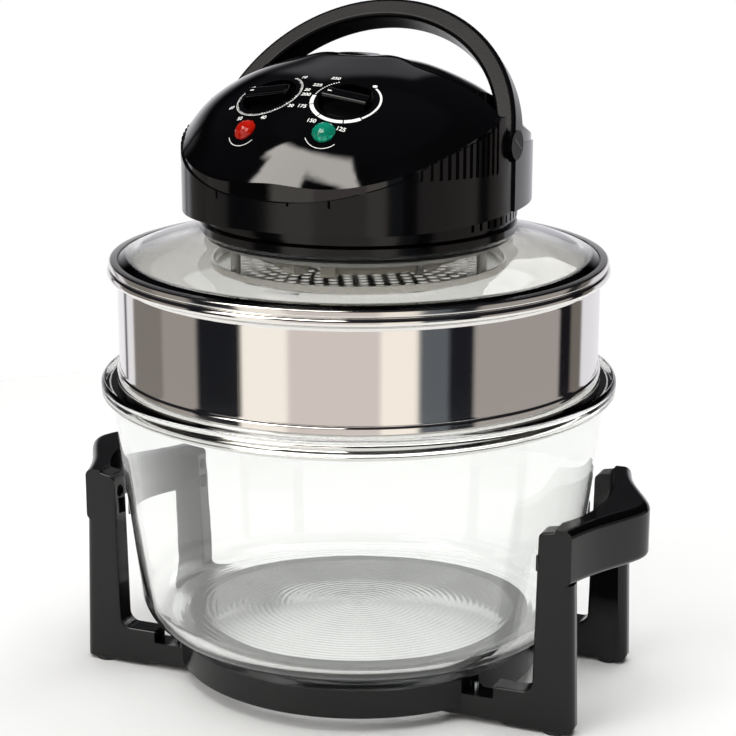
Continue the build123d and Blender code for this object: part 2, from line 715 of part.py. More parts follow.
# ---- drive --------------------------------------------------------------------------------
plate = block(-boss_x - 6, boss_x + 6, -boss_y - 6, boss_y + 6, bracket_z, bracket_z + 1.5)
plate = plate - rod(7.0, bracket_z - 1, bracket_z + 3)
for sx in (-1, 1):
    for sy in (-1, 1):
        plate = plate - rod(1.6, bracket_z - 1, bracket_z + 3, sx * boss_x, sy * boss_y)
save_lid("motor_bracket", plate)
down_screw = Rot(180, 0, 0) * screw(2.8, 1.8, 1.5, 9.0)
bracket_screws = []
for sx in (-1, 1):
    for sy in (-1, 1):
        bracket_screws.append(Pos(sx * boss_x, sy * boss_y, bracket_z + 1.5) * down_screw)
save_lid("bracket_screws", bracket_screws)
house_screw = Rot(180, 0, 0) * screw(3.2, 2.0, 1.5, 13.0)
save_lid("housing_screws", [Pos(*polar(87.5, a), head_z + 3) * house_screw for a in house_angles])

core_z0 = bracket_z + 1.5
core_z1 = core_z0 + 20
motor = block(-26, 26, -20, 20, core_z0, core_z1)
motor = chamfer(motor.edges().filter_by(Axis.Z), 3.0)
motor = motor + rod(14.0, core_z1, core_z1 + 5)
motor = motor - rod(shaft_r + fit, core_z0 - 1, core_z1 + 6)
save_lid("fan_motor", motor)
coil = fillet(block(-15, 15, 20, 35, core_z0 + 2, core_z1 - 2).edges().filter_by(Axis.Z), 5.0)
save_lid("motor_coil", coil)
save_lid("motor_shaft", rod(shaft_r, shaft_z0, core_z1 + 8))


def impeller(r, z0, z1, count, pitch):
    hub = rod(7.0, z0, z1)
    disc = rod(r, z1 - 1.0, z1) if pitch == 0 else rod(16.0, z1 - 1.5, z1)
    wheel = hub + disc
    for i in range(count):
        middle = (z0 + z1) / 2
        blade = Pos((r + 5) / 2, 0, middle) * Rot(pitch, 0, 0) * Box(r - 7, 1.0 if pitch == 0 else 12.0, z1 - z0 if pitch == 0 else 1.2)
        wheel = wheel + (Rot(0, 0, 360 / count * i) * blade)
    wheel = wheel & rod(r, z0 - 6, z1 + 6)
    return wheel - rod(shaft_r + fit, z0 - 7, z1 + 7)


save_lid("convection_fan", impeller(46.0, fan_z, fan_z + 12, 10, 0))
save_lid("cooling_fan", impeller(42.0, head_z + 8, head_z + 18, 7, 28))

# ---- inlet and handle ---------------------------------------------------------------------
gland = Pos(0, gland_y - 3.5, inlet_z) * Rot(90, 0, 0) * Cylinder(6.9, 7)
gland = gland + Pos(0, gland_y + 1.5, inlet_z) * Rot(90, 0, 0) * Cylinder(10.0, 3)
gland = gland - Pos(0, gland_y, inlet_z) * Rot(90, 0, 0) * Cylinder(3.6, 30)
save_lid("cord_inlet", gland)

bushes = []
for side in (-1, 1):
    bush = cross_rod(bush_r, side * (pad_x - 2), side * bush_end)
    bush = bush + cross_rod(10.0, side * (pad_x - 2), side * pad_x)
    bush = bush - cross_rod(pin_r + fit, side * (pad_x - 5), side * 96)
    bushes.append(bush.solids()[0])
save_lid("handle_bushes", bushes)

lean_back = Pos(0, pivot_y, pivot_z) * Rot(-lean, 0, 0)
arch = Rot(90, 0, 0) * (Cylinder(arch_out, arch_w) - Cylinder(arch_in, arch_w + 2))
arch = (Pos(0, 0, -arch_drop) * arch) & block(-120, 120, -20, 20, 0, 120)
arch = fillet(arch.edges().filter_by(GeomType.CIRCLE), 2.6)
for side in (-1, 1):
    arch = arch + cross_rod(arch_w / 2, side * (arch_in - 0.7), side * (arch_out - 1.0), 0, 0)
    arch = arch - cross_rod(pin_r + fit, side * 88, side * (arch_in + 8.5), 0, 0)
save_lid("carry_handle", lean_back * arch)
pins = []
for side in (-1, 1):
    pin = cross_rod(pin_r, side * (pad_x - 2.2), side * (arch_in + 8.5), 0, 0)
    pin = pin + cross_rod(6.4, side * (pad_x - 4), side * (pad_x - 2.2), 0, 0)
    pins.append((lean_back * pin).solids()[0])
save_lid("handle_pins", pins)
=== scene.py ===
# %% [markdown]
# # A halogen oven, dressed for a studio picture
# The oven is a glass bowl in a black stand, a polished steel ring that makes the bowl deeper,
# and a loose glass lid that carries the motor head. The CAD model gives every part and its
# place. Loading it first fixes the frame, so each new piece is drawn at its real position.
# %% Load the CAD frame
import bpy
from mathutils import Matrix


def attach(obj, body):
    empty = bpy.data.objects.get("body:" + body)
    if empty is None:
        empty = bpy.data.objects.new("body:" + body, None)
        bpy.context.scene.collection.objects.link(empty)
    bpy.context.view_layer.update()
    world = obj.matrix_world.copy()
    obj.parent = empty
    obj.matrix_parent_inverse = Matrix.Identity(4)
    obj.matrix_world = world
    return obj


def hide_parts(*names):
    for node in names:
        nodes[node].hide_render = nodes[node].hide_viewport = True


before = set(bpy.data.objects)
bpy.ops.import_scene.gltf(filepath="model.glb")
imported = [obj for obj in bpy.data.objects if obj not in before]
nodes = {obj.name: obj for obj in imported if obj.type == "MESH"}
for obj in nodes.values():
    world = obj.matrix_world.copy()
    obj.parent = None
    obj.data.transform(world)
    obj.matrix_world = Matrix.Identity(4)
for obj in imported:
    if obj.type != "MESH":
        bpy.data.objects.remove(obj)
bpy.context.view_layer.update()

import math
import bmesh
import bpy
from mathutils import Matrix, Vector
from mathutils.bvhtree import BVHTree

MM = 0.001

# %% [markdown]
# ## The camera
# A long lens from about 1.3 m keeps the bowl's rims as calm ellipses. It stands a little to the
# right of the front and looks down by about fifteen degrees. The aim is built from two angles,
# because a direction worked out from angles is easier to read than a rotation triple.
# %% Camera
CAMERA_TURN = math.radians(22.2)
CAMERA_DROP = math.radians(15.07)
CAMERA_DISTANCE = 1.28905
CAMERA_HEIGHT = 0.54763
camera_data = bpy.data.cameras.new("studio_camera")
camera = bpy.data.objects.new("studio_camera", camera_data)
bpy.context.scene.collection.objects.link(camera)
camera.location = (
    CAMERA_DISTANCE * math.sin(CAMERA_TURN),
    -CAMERA_DISTANCE * math.cos(CAMERA_TURN),
    CAMERA_HEIGHT,
)
camera.rotation_euler = (math.pi / 2 - CAMERA_DROP, 0, CAMERA_TURN)
camera_data.lens = 101.24
camera_data.sensor_width = 36
camera_data.shift_x = 0.0126
bpy.context.scene.camera = camera
print("camera at", [round(v, 3) for v in camera.location])

# %% [markdown]
# ## Colours and nodes
# Colours are picked on screen as hex values, but the shader works in linear light, so one
# function turns them over. A second small function adds a node with its settings and its links.
# %% Two helpers for materials
def hexa(code):
    """Linear RGBA of an sRGB hex colour."""
    channels = [int(code[i:i + 2], 16) / 255 for i in (0, 2, 4)]
    return [c / 12.92 if c <= 0.04045 else ((c + 0.055) / 1.055) ** 2.4 for c in channels] + [1.0]


def add(tree, kind, links=None, **settings):
    """A node of a kind; settings name its properties or its sockets, links name where inputs come from."""
    new = tree.nodes.new(kind)
    for name, value in settings.items():
        if hasattr(new, name):
            setattr(new, name, value)
        else:
            new.inputs[name.replace("_", " ")].default_value = value
    for socket, source in (links or {}).items():
        tree.links.new(source, new.inputs[socket])
    return new


print("black plastic in linear light:", [round(v, 4) for v in hexa("0B0B0C")])


# %% [markdown]
# ## One recipe for solid finishes
# Most real surfaces differ in four ways: colour, how metallic they are, how rough they are, and
# the small relief left by the tool. The recipe takes those, makes the relief from noise at a size
# in millimetres, and lets the roughness wander a little, as handling and polish do.
# %% Surface recipe
def surface(name, colour, roughness, metallic=0.0, grain_mm=1.0, relief_mm=0.01, wander=0.03,
            stretch=(1, 1, 1), **shader):
    material = bpy.data.materials.new(name)
    material.use_nodes = True
    tree = material.node_tree
    tree.nodes.clear()
    place = add(tree, "ShaderNodeTexCoord")
    mapped = add(tree, "ShaderNodeMapping", {"Vector": place.outputs["Object"]}, Scale=stretch)
    grain = add(tree, "ShaderNodeTexNoise", {"Vector": mapped.outputs[0]}, Scale=1000 / grain_mm, Detail=3.0)
    patches = add(tree, "ShaderNodeTexNoise", {"Vector": mapped.outputs[0]}, Scale=28.0, Detail=4.0)
    rough = add(tree, "ShaderNodeMapRange", {"Value": patches.outputs["Fac"]})
    rough.inputs["To Min"].default_value = max(roughness - wander, 0.0)
    rough.inputs["To Max"].default_value = roughness + wander
    bump = add(tree, "ShaderNodeBump", {"Height": grain.outputs["Fac"]}, Distance=relief_mm * MM, Strength=1.0)
    principled = add(tree, "ShaderNodeBsdfPrincipled",
                     {"Roughness": rough.outputs[0], "Normal": bump.outputs[0]})
    principled.inputs["Base Color"].default_value = hexa(colour)
    principled.inputs["Metallic"].default_value = metallic
    for socket, value in shader.items():
        principled.inputs[socket.replace("_", " ")].default_value = value
    add(tree, "ShaderNodeOutputMaterial", {"Surface": principled.outputs[0]})
    return material


# %% [markdown]
# ## Black plastics
# The stand, the dome and the knobs are glossy ABS. Moulded against polished steel, it shows sharp
# reflections with a very shallow orange-peel wave. The housing and the handle come from a
# spark-eroded mould, so their black is satin and the highlights spread.
# %% Plastics and rubber
gloss_abs = surface("moulded_gloss_abs", "060607", 0.10, grain_mm=6, relief_mm=0.010, wander=0.03, IOR=1.54,
                    Specular_IOR_Level=0.3)
mirror_abs = surface("polished_dome_abs", "050506", 0.045, grain_mm=14, relief_mm=0.006, wander=0.012, IOR=1.54)
satin_abs = surface("semi_gloss_abs", "08080A", 0.15, grain_mm=1.2, relief_mm=0.006, wander=0.04, IOR=1.54,
                    Specular_IOR_Level=0.3)
handle_abs = surface("satin_handle_abs", "09090B", 0.20, grain_mm=1.6, relief_mm=0.02, wander=0.07, IOR=1.54,
                     Specular_IOR_Level=0.12)
foot_rubber = surface("moulded_rubber", "131313", 0.62, grain_mm=0.8, relief_mm=0.03, wander=0.08)
silicone = surface("cast_silicone", "1C1C1D", 0.5, grain_mm=2.0, relief_mm=0.01)
cream_abs = surface("cream_moulding", "D8D2BE", 0.42, grain_mm=1.0, relief_mm=0.01)
white_nylon = surface("natural_nylon", "E4E1D6", 0.38, grain_mm=1.5, relief_mm=0.01)
grey_abs = surface("grey_moulding", "6E7072", 0.42, grain_mm=1.0, relief_mm=0.01)
ceramic = surface("steatite_ceramic", "E3DDCE", 0.55, grain_mm=0.6, relief_mm=0.02)
white_ink = surface("screen_printed_white", "F2F2EE", 0.45, grain_mm=0.5, relief_mm=0.004)
print("plastics:", len(bpy.data.materials))

# %% [markdown]
# ## Steels and other metals
# The ring is stainless strip polished to a mirror, then rolled: its faint marks run round it, so
# the noise is stretched along the circle by squeezing it in height. The lid's rim, the guard and
# the screws are plainer, so they are rougher.
# %% Metals
mirror_steel = surface("mirror_polished_stainless", "E4E2DF", 0.06, 1.0, grain_mm=60, relief_mm=0.02,
                       wander=0.02, stretch=(1, 1, 14))
rim_steel = surface("buffed_stainless", "DCDAD7", 0.12, 1.0, grain_mm=8, relief_mm=0.01, wander=0.05,
                    stretch=(1, 1, 10))
guard_steel = surface("punched_sheet_steel", "D6D4CF", 0.22, 1.0, grain_mm=1.2, relief_mm=0.012, wander=0.08)
plain_steel = surface("plain_sheet_steel", "B4B3B0", 0.34, 1.0, grain_mm=0.9, relief_mm=0.01, wander=0.08)
zinc_steel = surface("zinc_plated_steel", "A9ABAD", 0.30, 1.0, grain_mm=0.6, relief_mm=0.01, wander=0.08)
bright_aluminium = surface("bright_rolled_aluminium", "DCDCDB", 0.18, 1.0, grain_mm=2, relief_mm=0.01,
                           stretch=(1, 12, 1))
copper = surface("enamelled_copper", "B46A3E", 0.30, 1.0, grain_mm=0.5, relief_mm=0.02)
iron_core = surface("laminated_iron", "55565A", 0.45, 1.0, grain_mm=0.7, relief_mm=0.05, stretch=(0.1, 0.1, 1))
weld_steel = surface("weld_seam_steel", "6B6763", 0.38, 1.0, grain_mm=0.5, relief_mm=0.02, wander=0.06)
print("with metals:", len(bpy.data.materials))

# %% [markdown]
# ## Glass
# The bowl and the lid are pressed borosilicate, clear with a faint green at the thick edges. Real
# wall thickness does that job: the shader only tints what passes through. The lenses are tinted
# acrylic, cut in facets so that they sparkle.
# %% Glasses
bowl_glass = surface("pressed_borosilicate_bowl", "FBFCFB", 0.0, grain_mm=40, relief_mm=0.06, wander=0.0,
                     Transmission_Weight=1.0, IOR=1.47)
lid_glass = surface("pressed_borosilicate_lid", "FCFDFC", 0.0, grain_mm=60, relief_mm=0.03, wander=0.0,
                    Transmission_Weight=1.0, IOR=1.47)
quartz = surface("frosted_quartz", "EFE8D8", 0.35, grain_mm=2, relief_mm=0.01, Transmission_Weight=0.5, IOR=1.46)
red_acrylic = surface("red_cut_acrylic", "D8210E", 0.04, grain_mm=3, relief_mm=0.004, wander=0.01,
                      Transmission_Weight=0.45, IOR=1.49)
green_acrylic = surface("green_cut_acrylic", "17A586", 0.04, grain_mm=3, relief_mm=0.004, wander=0.01,
                        Transmission_Weight=0.45, IOR=1.49)
neon = surface("neon_bulb_glass", "F2B48C", 0.1, grain_mm=3, relief_mm=0.004, Transmission_Weight=0.5)
clear = [bowl_glass, lid_glass]
print("all materials:", len(bpy.data.materials))


# %% [markdown]
# ## Dressing the CAD parts
# Where the CAD shape is already right, only its finish changes. A table of finish to parts keeps
# that in one place.
# %% Finishes on CAD nodes
dressing = [
    (gloss_abs, ["stand_ring", "left_front_leg", "right_front_leg", "left_rear_leg", "right_rear_leg",
                 "left_grip", "right_grip", "timer_knob", "temperature_knob", "rear_cover"]),
    (mirror_abs, ["top_cover"]),
    (satin_abs, ["lower_housing", "collar"]),
    (handle_abs, ["carry_handle"]),
    (foot_rubber, ["foot_pads", "bowl_bumpers", "cord_inlet"]),
    (silicone, ["collar_gasket"]),
    (cream_abs, ["timer_unit", "temperature_unit"]),
    (white_nylon, ["handle_bushes"]),
    (grey_abs, ["cooling_fan"]),
    (ceramic, ["lamp_caps"]),
    (mirror_steel, ["extender_ring"]),
    (rim_steel, ["lid_rim"]),
    (guard_steel, ["mesh_guard"]),
    (plain_steel, ["clamp_ring", "guard_posts", "lamp_clips", "motor_bracket", "motor_shaft", "handle_pins",
                   "timer_spindle", "temperature_spindle"]),
    (zinc_steel, ["leg_screws", "grip_screws", "clamp_screws", "pan_screws", "bracket_screws",
                  "housing_screws"]),
    (bright_aluminium, ["reflector_pan", "heat_shield", "convection_fan"]),
    (copper, ["motor_coil", "lamp_terminals", "thermostat_bulb"]),
    (iron_core, ["fan_motor"]),
    (bowl_glass, ["glass_bowl"]),
    (lid_glass, ["lid_glass"]),
    (quartz, ["halogen_lamp"]),
    (red_acrylic, ["power_lens"]),
    (green_acrylic, ["heat_lens"]),
    (neon, ["indicator_lamps"]),
]
dressed = set()
for material, names in dressing:
    for name in names:
        for slot in nodes[name].material_slots:
            slot.material = material
        dressed.add(name)
print("dressed:", len(dressed), "left plain:", sorted(set(nodes) - dressed))

# %% [markdown]
# ## Turned shapes
# A bowl, a ring and a lid are bodies of revolution. On the real thing they are pressed or spun;
# here a half section is drawn once, in millimetres from the axis, and spun round it. A closed
# section gives walls of real thickness, which glass needs.
# %% The lathe
def piece(name, mesh_data, material, body, slot, *replaced, angle=40):
    """Turns a bmesh into a piece that rides on a body and stands for CAD nodes."""
    mesh = bpy.data.meshes.new(name)
    mesh_data.to_mesh(mesh)
    mesh_data.free()
    mesh.materials.append(material)
    mesh.shade_smooth()
    mesh.set_sharp_from_angle(angle=math.radians(angle))
    thing = bpy.data.objects.new(name, mesh)
    bpy.context.scene.collection.objects.link(thing)
    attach(thing, body)
    if replaced:
        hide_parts(*replaced)
    thing.visible_shadow = material not in clear
    print(name, len(mesh.polygons), "faces")
    return thing


def turned(section, steps=256):
    """A bmesh spun from a closed half section of (radius, height) pairs in millimetres."""
    bm = bmesh.new()
    rim = [bm.verts.new((max(r, 0.0) * MM, 0, z * MM)) for r, z in section]
    edges = [bm.edges.new((a, b)) for a, b in zip(rim, rim[1:] + rim[:1])]
    bmesh.ops.spin(bm, geom=rim + edges, cent=(0, 0, 0), axis=(0, 0, 1), angle=2 * math.pi,
                   steps=steps, use_merge=True, use_duplicate=False)
    bmesh.ops.remove_doubles(bm, verts=bm.verts[:], dist=2e-6)
    bmesh.ops.recalc_face_normals(bm, faces=bm.faces[:])
    return bm


# %% [markdown]
# ## The glass bowl
# The real bowl is pressed in one piece: a heavy rim, a slightly flared wall and a thick floor
# with fine rings that catch the light. The section is a chain of arcs, so the rim reads as one
# rounded bead. The rings are too fine to model, so the floor gets its own slightly frosted glass
# with rings in its bump.
# %% Glass bowl
def arc_points(cx, cz, r, start, end, count=10):
    return [(cx + r * math.cos(math.radians(start + (end - start) * i / count)),
             cz + r * math.sin(math.radians(start + (end - start) * i / count))) for i in range(count + 1)]


FLOOR_TOP = 43.0
RING_PITCH = 2.2
RINGS_AT_1_MM = 174.5
ringed_glass = bowl_glass.copy()
ringed_glass.name = "pressed_rings_in_glass"
tree = ringed_glass.node_tree
place = add(tree, "ShaderNodeTexCoord")
rings = add(tree, "ShaderNodeTexWave", {"Vector": place.outputs["Object"]}, wave_type="RINGS",
            rings_direction="Z", Scale=RINGS_AT_1_MM / RING_PITCH)
ring_bump = add(tree, "ShaderNodeBump", {"Height": rings.outputs["Fac"]}, Distance=0.10 * MM, Strength=0.8)
principled = next(n for n in tree.nodes if n.type == "BSDF_PRINCIPLED")
principled.inputs["Base Color"].default_value = hexa("F1F2F1")
principled.inputs["Transmission Weight"].default_value = 0.88
frosting = next(n for n in tree.nodes if n.type == "MAP_RANGE")
frosting.inputs["To Min"].default_value = 0.08
frosting.inputs["To Max"].default_value = 0.14
tree.links.new(ring_bump.outputs[0], principled.inputs["Normal"])

bowl_outside = [(0.0, 37.0)] + arc_points(121.4, 59.0, 22.0, -90, -6.5, 14)
bowl_rim = (
    [(158.3, 186.8)] + arc_points(160.7, 187.5, 2.2, 175, 115, 3)
    + arc_points(161.9, 192.9, 3.1, -72, 0, 6) + arc_points(161.9, 196.9, 3.1, 0, 90, 8)
    + [(158.4, 199.95), (155.4, 199.9)] + arc_points(154.8, 198.8, 1.1, 90, 180, 4) + [(153.7, 190.0)]
)
bowl_inside = arc_points(121.4, 60.0, 17.0, -6.5, -90, 12)
glass_shape = turned(bowl_outside + bowl_rim + bowl_inside + [(0.0, FLOOR_TOP)])
glass_piece = piece("pressed_glass_bowl", glass_shape, bowl_glass, "bowl", "bowl_glass", "glass_bowl", angle=50)
glass_piece.data.materials.append(ringed_glass)
for face in glass_piece.data.polygons:
    if abs(face.center.z - FLOOR_TOP * MM) < 0.2 * MM:
        face.material_index = 1

# %% [markdown]
# ## The extender ring
# It is one strip of polished stainless steel, rolled, seam welded and beaded. The top edge is
# curled into a round bead. Near the foot a crimp stands out to rest on the bowl's rim, and the
# strip goes on down into the bowl's mouth. The weld is a fine upright line, so it is a narrow
# raised strip of its own.
# %% Extender ring
ring_section = (
    [(152.0, 187.0), (152.0, 187.6), (152.0, 265.8), (152.0, 266.4)] + arc_points(156.25, 268.9, 3.9, 218, 135, 3)
    + arc_points(156.25, 268.9, 3.0, 118, 62, 5) + arc_points(156.25, 268.9, 3.1, 40, -100, 12)
    + [(154.4, 265.6), (153.4, 264.6), (153.05, 263.4), (153.0, 262.6), (153.0, 262.2),
       (153.0, 208.2), (153.0, 207.6), (153.2, 206.9), (154.2, 206.2),
       (154.6, 205.6), (154.6, 205.0), (154.6, 201.6), (154.6, 201.0), (154.4, 200.1),
       (153.3, 200.08), (153.0, 199.7), (153.0, 199.2), (153.0, 187.6), (153.0, 187.0)]
)
ring_shape = turned(ring_section)
ring_piece = piece("beaded_steel_ring", ring_shape, mirror_steel, "ring", "ring_steel", "extender_ring", angle=35)

SEAM_AT = math.radians(-95.0)
seam_shape = bmesh.new()
bmesh.ops.create_cube(seam_shape, size=1.0)
bmesh.ops.scale(seam_shape, vec=(0.25 * MM, 0.5 * MM, 56.0 * MM), verts=seam_shape.verts)
bmesh.ops.bevel(seam_shape, geom=seam_shape.edges[:], offset=0.11 * MM, segments=2, profile=0.5,
                affect="EDGES", material=-1)
bmesh.ops.translate(seam_shape, vec=(153.02 * MM, 0, 235.4 * MM), verts=seam_shape.verts)
bmesh.ops.rotate(seam_shape, cent=(0, 0, 0), matrix=Matrix.Rotation(SEAM_AT, 3, "Z"), verts=seam_shape.verts)
seam_piece = piece("ring_weld_seam", seam_shape, weld_steel, "ring", "ring_steel")

# %% [markdown]
# ## The lid glass and its rim
# The lid is a pressed glass disc that climbs in a shallow dome to the motor head. A folded steel
# band holds its edge.
# %% Lid glass and rim
lid_outside = [(156.6, 272.9), (156.6, 275.3), (155.8, 275.6), (152.2, 275.7), (150.4, 276.9), (146.0, 278.6),
               (140.0, 280.5), (133.0, 282.5), (126.0, 284.3), (119.0, 286.1), (112.0, 287.7), (105.0, 289.1),
               (98.0, 289.95), (86.6, 289.95), (86.6, 286.1), (96.5, 286.05)]
lid_inside = [(102.0, 285.3), (108.0, 284.2), (115.0, 282.6), (122.0, 280.8), (129.0, 278.9), (136.0, 276.8),
              (142.0, 274.8), (147.0, 273.1), (149.0, 272.9)]
lid_shape = turned(lid_outside + lid_inside)
lid_piece = piece("pressed_lid_glass", lid_shape, lid_glass, "lid", "lid_glass", "lid_glass", angle=50)
rim_section = (
    [(149.6, 265.9), (150.4, 265.9), (150.5, 271.85), (156.6, 271.85)] + arc_points(156.6, 272.9, 1.35, -80, 0, 4)
    + arc_points(156.6, 275.0, 1.35, 0, 90, 5) + [(152.8, 276.35), (152.6, 275.85), (156.2, 275.7), (156.9, 275.0),
                                                (156.9, 273.0), (156.2, 272.8), (149.6, 272.75)]
)
rim_shape = turned(rim_section)
rim_piece = piece("folded_lid_rim", rim_shape, rim_steel, "lid", "rim_steel", "lid_rim", angle=35)

# %% [markdown]
# ## Places on the dome
# The dials and lenses sit on slanted pads of the cover. Each pad gets a small frame of its own:
# across, up, and out of the skin. The lid lies turned a little on the ring, and so do the frames.
# %% Pads of the dials and lenses
LID_TURN = Matrix.Rotation(math.radians(-4.8), 4, "Z")


def pad(x, y, z, *normal):
    out = Vector(normal).normalized()
    across = (Vector((1, 0, 0)) - out * out.x).normalized()
    up = out.cross(across)
    frame_here = Matrix((across, up, out)).transposed().to_4x4()
    frame_here.translation = Vector((x, y, z)) * MM
    return LID_TURN @ frame_here


timer_pad = pad(-26.0, -67.0, 383.0, -0.17, -0.45, 0.88)
heat_dial_pad = pad(26.0, -67.0, 383.0, 0.17, -0.44, 0.88)
red_pad = pad(-27.6, -94.0, 365.5, -0.22, -0.67, 0.71)
green_pad = pad(24.5, -93.0, 367.6, 0.19, -0.64, 0.75)
print("pads:", [[round(v * 1000) for v in p.translation] for p in (timer_pad, heat_dial_pad, red_pad, green_pad)])

# %% [markdown]
# ## Printing on a curved skin
# The scales are screen printed in white. Each mark is drawn flat on its pad and then dropped
# onto the cover by a ray, so it follows the curve like ink does. It lies a few hundredths of a
# millimetre proud, which keeps it clear of the plastic below.
# %% Marks: bands, dots and numbers
INK_PROUD = 0.07
cover = nodes["top_cover"]
cover_points = [cover.matrix_world @ v.co for v in cover.data.vertices]
cover_skin = BVHTree.FromPolygons(cover_points, [p.vertices[:] for p in cover.data.polygons])


def band(bm, r_in, r_out, start, end, step=3):
    count = max(2, round(abs(end - start) / step))
    rows = []
    for i in range(count + 1):
        a = math.radians(start + (end - start) * i / count)
        rows.append([bm.verts.new((r * math.cos(a) * MM, r * math.sin(a) * MM, 0)) for r in (r_in, r_out)])
    for low, high in zip(rows, rows[1:]):
        bm.faces.new((low[0], low[1], high[1], high[0]))


def dot(bm, r, degrees, size):
    a = math.radians(degrees)
    centre = Matrix.Translation((r * math.cos(a) * MM, r * math.sin(a) * MM, 0))
    bmesh.ops.create_circle(bm, cap_ends=True, segments=14, radius=size * MM, matrix=centre)


def number(bm, text, r, degrees, height):
    curve = bpy.data.curves.new("scale_number", "FONT")
    curve.body = text
    curve.size = height * 1.4 * MM
    curve.align_x = "CENTER"
    curve.align_y = "CENTER"
    curve.offset = 0.10 * MM
    holder = bpy.data.objects.new("scale_number", curve)
    flat = bpy.data.meshes.new_from_object(holder)
    a = math.radians(degrees)
    flat.transform(Matrix.Translation((r * math.cos(a) * MM, r * math.sin(a) * MM, 0)))
    bm.from_mesh(flat)
    bpy.data.objects.remove(holder)
    bpy.data.curves.remove(curve)
    bpy.data.meshes.remove(flat)


def printed(name, bm, at):
    out = (at.to_3x3() @ Vector((0, 0, 1))).normalized()
    for v in bm.verts:
        above = at @ (v.co + Vector((0, 0, 12 * MM)))
        spot = cover_skin.ray_cast(above, -out)[0]
        v.co = (spot if spot else at @ v.co) + out * INK_PROUD * MM
    bmesh.ops.recalc_face_normals(bm, faces=bm.faces[:])
    return piece(name, bm, white_ink, "lid", None)


print("cover skin:", len(cover_points), "points")

# %% [markdown]
# ## The two scales
# The timer has a fine dotted ring with its minutes outside. The temperature scale has a broad
# band along the lower half, dots at the hot end, and a round mark at the off place. Only the
# numbers are printed.
# %% Timer scale
timer_marks = bmesh.new()
for i in range(61):
    dot(timer_marks, 20.3, 62 - 4.6 * i, 0.34 if i % 5 else 0.55)
band(timer_marks, 20.9, 21.25, 62, -214)
for i, text in enumerate(("10", "20", "30", "40", "50", "60")):
    number(timer_marks, text, 24.6, 54 - 42 * i, 2.7)
timer_scale = printed("timer_scale", timer_marks, timer_pad)

# %% Temperature scale
heat_marks = bmesh.new()
for start, end in ((180, 205), (207, 241), (243, 288), (290, 318)):
    band(heat_marks, 19.5, 21.9, start, end)
band(heat_marks, 19.9, 21.2, 320, 415)
for i in range(12):
    dot(heat_marks, 20.6, 175 - 4.4 * i, 0.5)
dot(heat_marks, 21.6, 62, 1.5)
for text, degrees in (("250", 128), ("225", 155), ("200", 180), ("175", 207), ("150", 243), ("125", 287)):
    number(heat_marks, text, 26.4, degrees, 2.9)
heat_scale = printed("temperature_scale", heat_marks, heat_dial_pad)

# %% Arcs under the lenses
red_marks = bmesh.new()
band(red_marks, 11.0, 11.45, 205, 318)
red_arc = printed("power_arc", red_marks, red_pad)
green_marks = bmesh.new()
band(green_marks, 11.0, 11.45, 212, 325)
green_arc = printed("heat_arc", green_marks, green_pad)

# %% [markdown]
# ## Pointers and painted highlights on the knobs
# Each knob has a white dash at the end of its bar: a pointer mark that is also a painted highlight, standing where
# the bar's end catches the light. It is a thin inlay with rounded edges, set along the bar, and it turns with the
# knob.
# %% Knob pointers, partly painted highlights
def pointer_with_highlight(name, at, body):
    bm = bmesh.new()
    bmesh.ops.create_cube(bm, size=1.0)
    bmesh.ops.scale(bm, vec=(2.6 * MM, 1.1 * MM, 0.5 * MM), verts=bm.verts)
    bmesh.ops.bevel(bm, geom=bm.edges[:], offset=0.2 * MM, segments=2, profile=0.5, affect="EDGES", material=-1)
    # The white dash sits at the bar's end, where it is a pointer and also a painted highlight.
    bmesh.ops.translate(bm, vec=(-10.6 * MM, 0, 4.45 * MM), verts=bm.verts)
    bmesh.ops.transform(bm, matrix=at, verts=bm.verts)
    return piece(name, bm, white_ink, body, None)


# White dashes on the knobs: pointer marks that are partly painted highlights.
timer_pointer_highlight = pointer_with_highlight("timer_pointer_highlight", timer_pad, "timer")
heat_pointer_highlight = pointer_with_highlight("temperature_pointer_highlight", heat_dial_pad, "temperature")

# %% [markdown]
# ## Cut lenses
# The two lamps shine through acrylic lenses cut in facets. A real one is moulded with flat faces
# so that it sparkles when it is off. Rings of points, each turned half a step from the last, give
# those triangles, and the faces stay flat shaded.
# %% Faceted lenses
def cut_lens(name, at, material, slot, node, radius=7.1):
    bm = bmesh.new()
    rings_of_points = []
    for share, height, turn in ((1.0, -5.4, 0), (1.0, 0.5, 0), (0.80, 2.3, 1), (0.52, 3.7, 0), (0.22, 4.4, 1)):
        ring_points = []
        for i in range(12):
            a = math.radians(30 * i + 15 * turn)
            ring_points.append(bm.verts.new((radius * share * math.cos(a) * MM, radius * share * math.sin(a) * MM,
                                             height * MM)))
        rings_of_points.append(ring_points)
    for k, (low, high) in enumerate(zip(rings_of_points, rings_of_points[1:])):
        for i in range(12):
            j = (i + 1) % 12
            if k == 0:
                bm.faces.new((low[i], low[j], high[j], high[i]))
            elif k % 2:
                bm.faces.new((low[i], low[j], high[i]))
                bm.faces.new((low[j], high[j], high[i]))
            else:
                bm.faces.new((low[i], high[j], high[i]))
                bm.faces.new((low[i], low[j], high[j]))
    bm.faces.new(rings_of_points[-1])
    bm.faces.new(reversed(rings_of_points[0]))
    bmesh.ops.recalc_face_normals(bm, faces=bm.faces[:])
    bmesh.ops.transform(bm, matrix=at, verts=bm.verts)
    return piece(name, bm, material, "lid", slot, node, angle=1)


red_lens = cut_lens("cut_red_lens", red_pad, red_acrylic, "red_lens", "power_lens")
green_lens = cut_lens("cut_green_lens", green_pad, green_acrylic, "green_lens", "heat_lens")

